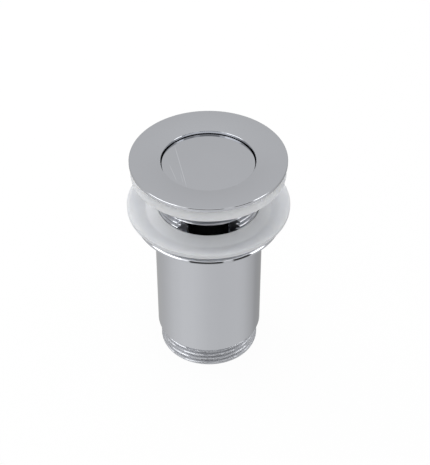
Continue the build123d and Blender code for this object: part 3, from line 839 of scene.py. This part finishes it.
def make_spindle(sizes):
    """The spindle, with a fine thread where it screws into the cap and through the lock nut."""
    top, bottom = highest("spindle"), lowest("spindle")
    shoulder = highest("cam_sleeve")
    clip_top, clip_bottom = highest("spindle_clip"), lowest("spindle_clip")
    thread_start = lowest("lock_nut") - sizes.spindle_pitch
    small = sizes.spindle_depth / 4
    lower = outline([
        (sizes.spindle_groove / 2, bottom, 0),
        (sizes.spindle_neck, bottom, small), (sizes.spindle_neck, clip_bottom, small),
        (sizes.spindle_groove, clip_bottom, small), (sizes.spindle_groove, clip_top, small),
        (sizes.spindle_neck, clip_top, small), (sizes.spindle_neck, shoulder, small),
        (sizes.spindle_radius, shoulder, small), (sizes.spindle_radius, thread_start, 0),
    ], closed=False)
    heights = np.linspace(thread_start, top, int((top - thread_start) / sizes.spindle_pitch * 10))[1:]
    strength = fade(heights, thread_start, thread_start + sizes.spindle_pitch)
    threaded = threaded_radii(
        sizes.spindle_radius, sizes.spindle_depth, sizes.spindle_pitch, heights, SPINDLE_TURNS, strength[None])
    threaded = np.minimum(threaded, sizes.spindle_radius - small + (top - heights)[None])
    points = turned(SPINDLE_TURNS, lower, (threaded, heights))
    return with_creases(capped_object("plug_spindle", points))


def make_upper_washer(sizes):
    """The washer under the flange: a soft cup, rim down."""
    bottom = lowest("upper_washer")
    rim, wide, bore, width = sizes.upper_rim, sizes.upper_top, sizes.bore, sizes.rim_width
    valley = (bore + sizes.valley_share * (rim - bore), FLANGE_UNDER - sizes.upper_valley)
    collar = (bore, bottom + sizes.upper_collar_drop)
    hold = width / 3
    flange = bpy.context.scene.waste_flange
    land = flange.radius - flange.under_land
    root = FLANGE_UNDER - flange.under_fall * (land - bore) / (land - THREAD_RADIUS)
    upright = (0, 0.0033)
    side = curve_between((rim, bottom + sizes.upper_rim_height), (wide, FLANGE_UNDER), upright, upright, 6)
    rise = curve_between((collar[0] + hold, collar[1]), valley, (0.0008, 0.0012), (0.002, 0), 5)
    fall = curve_between(valley, (rim - width, bottom), (0.003, 0), (0.002, -0.003), 7)
    points = np.concatenate((
        [(rim - hold, bottom), (rim, bottom), (rim, bottom + hold), (rim, bottom + sizes.upper_rim_height)],
        side,
        [(wide, FLANGE_UNDER - hold), (wide, FLANGE_UNDER), (wide - hold, FLANGE_UNDER), (land, FLANGE_UNDER)],
        [(bore + hold, root + hold * (FLANGE_UNDER - root) / (land - bore)), (bore, root), (bore, root - hold)],
        [(bore, collar[1] + hold), collar, (bore + hold, collar[1])],
        rise, [valley], fall, [(rim - width, bottom)],
    ))
    return ring_object("basin_washer", turned(sizes.turns, softened(points, sizes.soft_cuts)))


def make_lower_washer(sizes):
    """The washer on the tube: the same kind of soft cup, rim up."""
    bottom, top = lowest("lower_washer"), highest("lower_washer")
    rim, bore, width, foot = sizes.lower_rim, sizes.bore, sizes.rim_width, sizes.lower_foot
    valley = (bore + sizes.valley_share * (rim - bore), bottom + sizes.lower_valley)
    lip = THREAD_RADIUS + sizes.lip_gap
    hold = width / 3
    side = curve_between((foot, bottom), (rim, top - sizes.lower_rim_height), (0.001, 0.003), (0.003, 0.0022), 6)
    fall = curve_between((rim - width, top), valley, (-0.003, -0.0008), (-0.003, 0), 8)
    rise = curve_between(valley, (lip + hold, top), (-0.0022, 0), (-0.0012, 0.002), 5)
    under_lip = top - sizes.lip_height
    points = np.concatenate((
        [(bore, bottom + hold), (bore, bottom), (bore + hold, bottom), (foot - hold, bottom), (foot, bottom)],
        side,
        [(rim, top - sizes.lower_rim_height), (rim, top - hold)],
        [(rim, top), (rim - hold, top), (rim - width, top)],
        fall, [valley], rise,
        [(lip + hold, top), (lip, top), (lip, top - hold), (lip, under_lip)],
        [(bore, under_lip - hold), (bore, under_lip - 2 * hold)],
    ))
    return ring_object("clamp_washer", turned(sizes.turns, softened(points, sizes.soft_cuts)))


def make_tube(sizes, thread):
    """The screwed tube: threaded bore, clamping flange, plain barrel and threaded tail."""
    under = TUBE_TOP - sizes.flange_height
    small = sizes.shoulder_chamfer / 3
    bore = thread.radius + thread.clearance
    radii, heights = outline([
        (thread.radius - thread.depth, sizes.tail_length, 0),
        (sizes.radius - sizes.shoulder_chamfer, sizes.tail_length, small),
        (sizes.radius, sizes.tail_length + sizes.shoulder_chamfer, small),
        (sizes.radius, under, sizes.root_round),
        (sizes.flange_radius, under, sizes.under_round),
        (sizes.flange_radius, TUBE_TOP, sizes.flange_round),
        (bore, TUBE_TOP, 0),
    ], closed=False)
    tail_rows = int(sizes.tail_length / thread.pitch * thread.samples)
    tail_heights = np.linspace(0, sizes.tail_length, tail_rows)[:-1]
    cut = fade(tail_heights, sizes.tail_plain, sizes.tail_plain + sizes.tail_runout)
    tail = threaded_radii(
        thread.radius, thread.depth, thread.pitch, tail_heights + sizes.tail_lead, thread.turns, cut[None])
    tail = np.minimum(tail, thread.radius - sizes.tail_chamfer + tail_heights[None])
    bore_rows = int((TUBE_TOP - sizes.step_level) / thread.pitch * thread.samples)
    bore_heights = np.linspace(TUBE_TOP, sizes.step_level, bore_rows)
    inside = threaded_radii(bore, thread.depth, thread.pitch, bore_heights, thread.turns)
    inside = np.maximum(inside, bore - (TUBE_TOP - bore_heights)[None])
    end_radii, end_heights = outline([
        (bore - thread.depth, sizes.step_level, 0), (sizes.tail_bore, sizes.step_level, small),
        (sizes.tail_bore, 0, small), (thread.radius - 2 * sizes.tail_chamfer, 0, 0),
    ], closed=False)
    points = turned(
        thread.turns, (tail, tail_heights), (radii[:-1], heights[:-1]),
        (inside[:, :-1], bore_heights[:-1]), (end_radii[1:], end_heights[1:]))
    return with_creases(ring_object("clamp_tube", points))


def make_spring(sizes):
    """The spring: a round wire along a helix. The climb is slow in the closed end turns and even between
    them. Round the wire, a point is the centre plus cos times the outward and sin times the upward normal."""
    floor, ceiling = lowest("return_spring"), highest("return_spring")
    low, high = floor + sizes.wire / 2, ceiling - sizes.wire / 2
    turns = np.linspace(0, sizes.coils, int(sizes.coils * COIL_POINTS))
    closed = sizes.closed_coils
    opened = fade(turns, closed * 0.75, closed * 1.25)
    closing = fade(turns, sizes.coils - closed * 1.25, sizes.coils - closed * 0.75)
    spare = (high - low) - sizes.coils * sizes.wire
    rates = sizes.wire + spare / (sizes.coils - 2 * closed) * (opened * (1 - closing))
    climb = np.concatenate(([0], np.cumsum((rates[1:] + rates[:-1]) / 2 * np.diff(turns))))
    heights = low + climb * (high - low) / climb[-1]
    angles = 2 * pi * turns
    centres = np.stack((sizes.radius * np.cos(angles), sizes.radius * np.sin(angles), heights), axis=-1)
    along = np.gradient(centres, axis=0)
    along /= np.linalg.norm(along, axis=1, keepdims=True)
    out = np.stack((np.cos(angles), np.sin(angles), np.zeros_like(angles)), axis=-1)
    up = np.cross(along, out)
    round_wire = 2 * pi * np.arange(WIRE_POINTS) / WIRE_POINTS
    points = centres[None] + sizes.wire / 2 * (
        np.cos(round_wire)[:, None, None] * out[None] + np.sin(round_wire)[:, None, None] * up[None])
    return capped_object("plug_spring", points), floor, ceiling


class BASINWASTE_OT_flange(bpy.types.Operator):
    """Make the flange with its threaded neck, overflow slots and hub"""

    bl_idname = "basinwaste.flange"
    bl_label = "Flange and neck"

    def execute(self, context):
        scene = context.scene
        flange = make_flange(scene.waste_flange, scene.waste_thread)
        ride_and_dress(flange, "waste_body", "chrome", "threaded chrome", "flange_body")
        return {"FINISHED"}


class BASINWASTE_OT_plug(bpy.types.Operator):
    """Make the plug's cap and its spindle"""

    bl_idname = "basinwaste.plug"
    bl_label = "Plug cap and spindle"

    def execute(self, context):
        sizes = context.scene.waste_plug
        ride_and_dress(make_plug_cap(sizes), "plug", "chrome", "chrome plate", "plug_cap")
        ride_and_dress(make_spindle(sizes), "plug", "steel", "stainless steel", "spindle")
        return {"FINISHED"}


class BASINWASTE_OT_washers(bpy.types.Operator):
    """Make the two soft washers"""

    bl_idname = "basinwaste.washers"
    bl_label = "Washers"

    def execute(self, context):
        sizes = context.scene.waste_washers
        looks = "clear_washer", "soft polythene"
        ride_and_dress(make_upper_washer(sizes), "waste_body", *looks, "upper_washer")
        ride_and_dress(make_lower_washer(sizes), "lower_washer", *looks, "lower_washer")
        return {"FINISHED"}


class BASINWASTE_OT_tube(bpy.types.Operator):
    """Make the tube that screws onto the neck"""

    bl_idname = "basinwaste.tube"
    bl_label = "Tube"

    def execute(self, context):
        scene = context.scene
        tube = make_tube(scene.waste_tube, scene.waste_thread)
        ride_and_dress(tube, "tube", "chrome", "threaded chrome", "tube_body")
        return {"FINISHED"}


class BASINWASTE_OT_spring(bpy.types.Operator):
    """Make the return spring, which sits between the barrel and the plug"""

    bl_idname = "basinwaste.spring"
    bl_label = "Return spring"

    def execute(self, context):
        spring, floor, ceiling = make_spring(context.scene.waste_spring)
        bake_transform(spring)
        dress(spring, "steel", "stainless steel", "return_spring")
        return {"FINISHED"}


class BASINWASTE_OT_cartridge(bpy.types.Operator):
    """Finish the pieces of the cartridge and its fastenings"""

    bl_idname = "basinwaste.cartridge"
    bl_label = "Cartridge finishes"

    def execute(self, context):
        kinds = {
            "black acetal": ("barrel", "gland_cap", "guide_bush", "seal_carrier"),
            "white acetal": ("cam_sleeve", "cam_ring"),
            "stainless steel": ("follower_pins", "spindle_clip", "spring_washer", "plug_washer", "hub_washer"),
            "turned brass": ("lock_nut", "hub_nut"),
            "seal rubber": ("plug_o_ring", "spindle_seal"),
        }
        for kind, nodes in kinds.items():
            for node in nodes:
                mesh = frame["nodes"][node].data
                mesh.materials.clear()
                mesh.materials.append(finish_for(kind))
        return {"FINISHED"}


def floor_finish(glow):
    """Pale floor: it shows as white to the camera, and keeps a faint shadow."""
    finish = new_finish("pale floor")
    camera, through = finish.rays("Camera", "Transmission")
    plain = finish.add("ShaderNodeBsdfDiffuse", None, {"Color": shade((0.8, 0.8, 0.8))})
    white = finish.add("ShaderNodeEmission", None, {"Color": shade((1, 1, 1)), "Strength": 1.0})
    seen = (camera + through).clamped() * glow
    finish.output(finish.add("ShaderNodeMixShader", None, {0: seen, 1: plain, 2: white}))
    return finish.holder


# Light that shiny pieces see, by degrees round from the front (right is positive): the floor round the object,
# and the studio above it with its two soft boxes and the dark front of the room
FLOOR_TONES = (
    (-180, 0.45), (-145, 0.56), (-118, 0.70), (-100, 0.81), (-85, 0.90), (-60, 0.98), (-37, 0.98), (-16, 0.93),
    (0, 0.885), (25, 0.86), (65, 0.865), (75, 0.85), (85, 0.815), (97, 0.735), (110, 0.645), (126, 0.50),
    (150, 0.42), (180, 0.45),
)
STUDIO_TONES = (
    (-180, 0.8), (-86, 0.8), (-80, 4.5), (-43, 4.5), (-38, 1.9), (-30, 1.9), (-25, 0.08), (19, 0.08), (22, 1.0),
    (32, 1.0), (36, 0.08), (60, 0.08), (64, 4.5), (80, 4.5), (86, 0.8), (180, 0.8),
)
# The sky in front, which the mouth's wall shows by way of the plug
FRONT_TONES = ((-180, 0.8), (-75, 0.8), (-55, 1.65), (55, 1.65), (75, 0.8), (180, 0.8))
STUDIO_BASE, BRIGHTEST, DARKEST = 0.8, 5.0, 0.05
# Light of the studio at the horizon, and how much it gains up to the zenith
HORIZON_LIGHT, RISING_LIGHT = 0.642, 0.24
# Light that dull pieces get from all round, and how much it gains up to the zenith
FILL_LIGHT, ZENITH_LIGHT = 0.325, 1.7

# Soft boxes: name, place and power
LAMPS = (
    ("left softbox", (-0.6, 0.5, 0.45), 2.3),
    ("back softbox", (0.0, 0.75, 0.45), 1.4),
    ("top softbox", (-0.05, -0.08, 0.85), 0.85),
)
LAMP_SIZE = 0.5


def tones_round(finish, turn, tones):
    """Brightness from a table of (degrees, brightness)."""
    stops = [(degrees / 360 + 0.5, shade((tone / BRIGHTEST,) * 3)) for degrees, tone in tones]
    return finish.add("ShaderNodeValToRGB", {"stops": stops}, {"Fac": turn}) * BRIGHTEST


def make_world():
    """White behind the object, a studio in its reflections and an even fill light that is stronger from above.
    The height z of a direction goes from -1 straight down to 1 straight up: the room's tones stand between 0
    and 0.6 and the front's above them, and the dark front also darkens the floor's far part below."""
    world = bpy.data.worlds.new("soft studio")
    bpy.context.scene.world = world
    finish = Finish(world)
    camera, glossy, through = finish.rays("Camera", "Glossy", "Transmission")
    x, y, z = finish.parts(finish.add("ShaderNodeTexCoord", outputs=("Generated",)))
    turn = x.math("ARCTAN2", y * -1.0) / (2 * pi) + 0.5
    walls = z.step(0.0, 0.03) * z.step(0.62, 0.5)
    ceiling = z.step(0.59, 0.62) * z.step(0.74, 0.70)
    room = tones_round(finish, turn, STUDIO_TONES)
    front = tones_round(finish, turn, FRONT_TONES)
    studio = z * RISING_LIGHT + HORIZON_LIGHT + (room - STUDIO_BASE) * walls + (front - STUDIO_BASE) * ceiling
    studio = studio.math("MAXIMUM", DARKEST)
    lit = (room / STUDIO_BASE).clamped()
    floor = tones_round(finish, turn, FLOOR_TONES) * (1.0 - (1.0 - lit) * z.step(-0.52, -0.44))
    mirrored = floor + (studio - floor) * z.step(-0.02, 0.02)
    fill = z.math("MAXIMUM", 0.0) ** 4.0 * ZENITH_LIGHT + FILL_LIGHT
    shown = (camera + through).clamped()
    level = shown + (1.0 - shown) * (glossy * mirrored + (1.0 - glossy) * fill)
    background = finish.add("ShaderNodeBackground", None, {"Color": shade((1, 1, 1)), "Strength": level})
    finish.output(background, "ShaderNodeOutputWorld")


def make_lamp(name, place, power):
    """A soft box, turned to the object's middle. Shiny pieces see the world's soft boxes instead."""
    lamp = bpy.data.lights.new(name, "AREA")
    lamp.shape, lamp.size, lamp.energy = "SQUARE", LAMP_SIZE, power
    holder = bpy.data.objects.new(name, lamp)
    bpy.context.scene.collection.objects.link(holder)
    holder.location = place
    aim = Vector((0.0, 0.0, FLANGE_TOP / 2)) - Vector(place)
    holder.rotation_euler = aim.to_track_quat("-Z", "Y").to_euler()
    holder.visible_glossy = False


class BASINWASTE_OT_stage(bpy.types.Operator):
    """Make the floor, the lamps, the world and the camera"""

    bl_idname = "basinwaste.stage"
    bl_label = "Stage"

    def execute(self, context):
        scene = context.scene
        sizes = scene.waste_stage
        floor = capped_object("floor", turned(
            FLOOR_TURNS, ([sizes.floor_radius] * 2, [-sizes.floor_depth, 0.0])))
        floor.data.materials.append(floor_finish(sizes.floor_glow))
        floor.visible_glossy = False
        make_world()
        for name, place, power in LAMPS:
            make_lamp(name, place, power)
        camera = bpy.data.cameras.new("camera")
        camera.lens, camera.sensor_width = sizes.lens, 36.0
        camera.clip_start, camera.clip_end = 0.01, 20.0
        holder = bpy.data.objects.new("camera", camera)
        scene.collection.objects.link(holder)
        holder.location = (sizes.camera_side, -sizes.camera_back, sizes.camera_height)
        holder.rotation_euler = (pi / 2 - sizes.camera_tilt, 0.0, 0.0)
        scene.camera = holder
        scene.view_settings.view_transform = "Standard"
        return {"FINISHED"}


class BASINWASTE_PT_panel(bpy.types.Panel):
    """Steps that build the waste"""

    bl_idname = "BASINWASTE_PT_panel"
    bl_label = "Basin Waste"
    bl_space_type = "VIEW_3D"
    bl_region_type = "UI"
    bl_category = "Basin Waste"

    def draw(self, context):
        for operator in OPERATORS:
            self.layout.operator(operator.bl_idname)


GROUPS = {
    "waste_thread": WasteThread, "waste_flange": WasteFlange, "waste_plug": WastePlug,
    "waste_washers": WasteWashers, "waste_tube": WasteTube, "waste_spring": WasteSpring,
    "waste_finishes": WasteFinishes, "waste_stage": WasteStage,
}
OPERATORS = (
    BASINWASTE_OT_stage, BASINWASTE_OT_flange, BASINWASTE_OT_plug, BASINWASTE_OT_washers,
    BASINWASTE_OT_tube, BASINWASTE_OT_spring, BASINWASTE_OT_cartridge,
)


def register():
    for kind in (*GROUPS.values(), *OPERATORS, BASINWASTE_PT_panel):
        bpy.utils.register_class(kind)
    for name, group in GROUPS.items():
        setattr(bpy.types.Scene, name, PointerProperty(type=group))


def unregister():
    for name in GROUPS:
        delattr(bpy.types.Scene, name)
    for kind in reversed((*GROUPS.values(), *OPERATORS, BASINWASTE_PT_panel)):
        bpy.utils.unregister_class(kind)


def main():
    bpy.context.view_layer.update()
    register()
    bpy.ops.basinwaste.stage()
    bpy.ops.basinwaste.flange()
    bpy.ops.basinwaste.plug()
    bpy.ops.basinwaste.washers()
    bpy.ops.basinwaste.tube()
    bpy.ops.basinwaste.spring()
    bpy.ops.basinwaste.cartridge()


if __name__ == "__main__":
    main()
